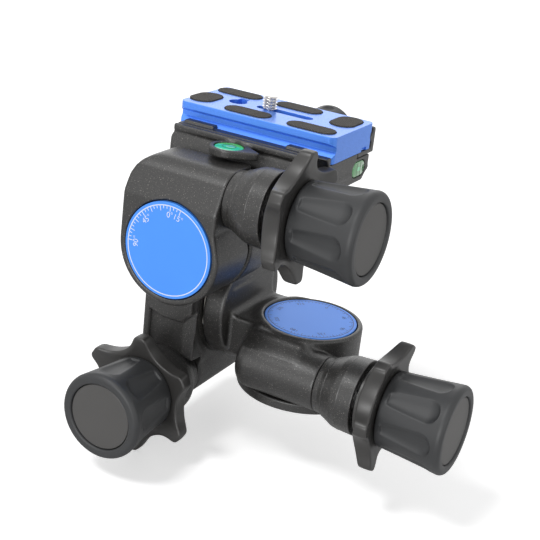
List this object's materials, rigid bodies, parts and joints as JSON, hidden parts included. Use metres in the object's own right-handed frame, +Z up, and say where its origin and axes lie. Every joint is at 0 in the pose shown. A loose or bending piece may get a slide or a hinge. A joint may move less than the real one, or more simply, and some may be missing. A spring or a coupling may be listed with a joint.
{
  "type": "geared tripod head",
  "caption": "Geared tripod head: pan, tilt and roll stages, each turned by a worm knob with a release ring, under a quick-release clamp and camera plate.",
  "frame": {"origin": "middle of the foot's underside, on the pan axis", "axes": "+Z up along the pan axis, +X along the pan knob, -Y along the tilt knob"},
  "size_m": [0.1587, 0.1288, 0.1563],
  "materials": {
    "casting": "black textured powder coat",
    "ring": "satin black",
    "rubber": "smooth matt",
    "cap": "dark anodised, fine blasted",
    "blue": "bright blue anodised",
    "steel": "turned",
    "alloy": "turned",
    "bronze": "hobbed",
    "pad": "cross-hatched",
    "polymer": "moulded",
    "vial": "clear over green fluid"
  },
  "bodies": {
    "base": {"base_flange": "casting", "tripod_bush": "steel", "pan_wheel": "bronze", "pan_washer": "polymer", "pan_ring_nut": "steel", "pan_dial": "blue"},
    "pan_stage": {"pan_housing": "casting", "pan_collar": "casting", "pan_spring": "steel", "tilt_axle": "steel", "tilt_wheel": "bronze", "tilt_washer": "polymer", "tilt_ring_nut": "steel"},
    "pan_release": {"pan_sleeve": "alloy", "pan_release_ring": "ring"},
    "pan_knob": {"pan_worm": "steel", "pan_knob_grip": "rubber", "pan_knob_cap": "cap"},
    "tilt_stage": {"tilt_housing": "casting", "tilt_cover": "casting", "tilt_collar": "casting", "tilt_spring": "steel", "roll_axle": "steel", "roll_wheel": "bronze", "roll_washer": "polymer", "roll_ring_nut": "steel", "roll_dial": "blue"},
    "tilt_release": {"tilt_sleeve": "alloy", "tilt_release_ring": "ring"},
    "tilt_knob": {"tilt_worm": "steel", "tilt_knob_grip": "rubber", "tilt_knob_cap": "cap"},
    "roll_stage": {"roll_housing": "casting", "roll_collar": "casting", "roll_spring": "steel", "clamp_body": "casting", "round_level": "vial", "tube_level": "vial", "clamp_spring": "steel"},
    "roll_release": {"roll_sleeve": "alloy", "roll_release_ring": "ring"},
    "roll_knob": {"roll_worm": "steel", "roll_knob_grip": "rubber", "roll_knob_cap": "cap"},
    "clamp_jaw": {"clamp_jaw": "casting"},
    "clamp_knob": {"clamp_screw": "steel", "clamp_knob_grip": "rubber", "clamp_knob_cap": "cap"},
    "camera_plate": {"camera_plate": "blue", "pad_1": "pad", "pad_2": "pad", "pad_3": "pad", "pad_4": "pad", "pad_5": "pad", "pad_6": "pad", "stop_screw_left": "steel", "stop_screw_right": "steel"},
    "screw_clip": {"screw_clip": "steel"},
    "camera_screw": {"camera_screw": "steel"}
  },
  "joints": [
    {"name": "pan", "type": "hinge", "parent": "base", "child": "pan_stage", "pos_m": [0, 0, 0], "axis": [0, 0, 1], "continuous": true},
    {"name": "pan_release_turn", "type": "hinge", "parent": "pan_stage", "child": "pan_release", "pos_m": [0, -0.02384, 0.01634], "axis": [1, 0, 0], "range_deg": [-60, 0], "stiffness_Nm_per_rad": 0.2, "springref_deg": 17.19},
    {"name": "pan_knob_spin", "type": "hinge", "parent": "pan_release", "child": "pan_knob", "pos_m": [0, -0.0225, 0.015], "axis": [1, 0, 0], "continuous": true},
    {"name": "tilt", "type": "hinge", "parent": "pan_stage", "child": "tilt_stage", "pos_m": [0, -0.001, 0.031], "axis": [1, 0, 0], "range_deg": [-90, 15]},
    {"name": "tilt_release_turn", "type": "hinge", "parent": "tilt_stage", "child": "tilt_release", "pos_m": [-0.05384, 0, -0.00334], "axis": [0, 1, 0], "range_deg": [0, 60], "stiffness_Nm_per_rad": 0.2, "springref_deg": -17.19},
    {"name": "tilt_knob_spin", "type": "hinge", "parent": "tilt_release", "child": "tilt_knob", "pos_m": [-0.0525, 0, -0.002], "axis": [0, 1, 0], "continuous": true},
    {"name": "roll", "type": "hinge", "parent": "tilt_stage", "child": "roll_stage", "pos_m": [-0.0415, 0, 0.0687], "axis": [0, 1, 0], "range_deg": [-90, 15]},
    {"name": "roll_release_turn", "type": "hinge", "parent": "roll_stage", "child": "roll_release", "pos_m": [0, -0.04174, 0.09254], "axis": [1, 0, 0], "range_deg": [0, 60], "stiffness_Nm_per_rad": 0.2, "springref_deg": -17.19},
    {"name": "roll_knob_spin", "type": "hinge", "parent": "roll_release", "child": "roll_knob", "pos_m": [0, -0.0404, 0.0912], "axis": [1, 0, 0], "continuous": true},
    {"name": "clamp_jaw_slide", "type": "slide", "parent": "roll_stage", "child": "clamp_jaw", "axis": [0, 1, 0], "range_m": [0, 0.003]},
    {"name": "clamp_knob_spin", "type": "hinge", "parent": "clamp_jaw", "child": "clamp_knob", "pos_m": [-0.024, 0, 0.1044], "axis": [0, 1, 0], "range_deg": [0, 865]},
    {"name": "plate_slide", "type": "slide", "parent": "roll_stage", "child": "camera_plate", "axis": [1, 0, 0], "range_m": [-0.02, 0.02]},
    {"name": "screw_slide", "type": "slide", "parent": "camera_plate", "child": "screw_clip", "axis": [1, 0, 0], "range_m": [-0.003, 0.018]},
    {"name": "screw_spin", "type": "hinge", "parent": "screw_clip", "child": "camera_screw", "pos_m": [-0.0338, 0.003, 0], "axis": [0, 0, 1], "continuous": true}
  ],
  "couplings": [
    {"joint": "pan_knob_spin", "follows": "pan", "ratio": 33},
    {"joint": "tilt_knob_spin", "follows": "tilt", "ratio": 54},
    {"joint": "roll_knob_spin", "follows": "roll", "ratio": 33},
    {"joint": "clamp_knob_spin", "follows": "clamp_jaw_slide", "rad_per_m": 5026.5}
  ]
}
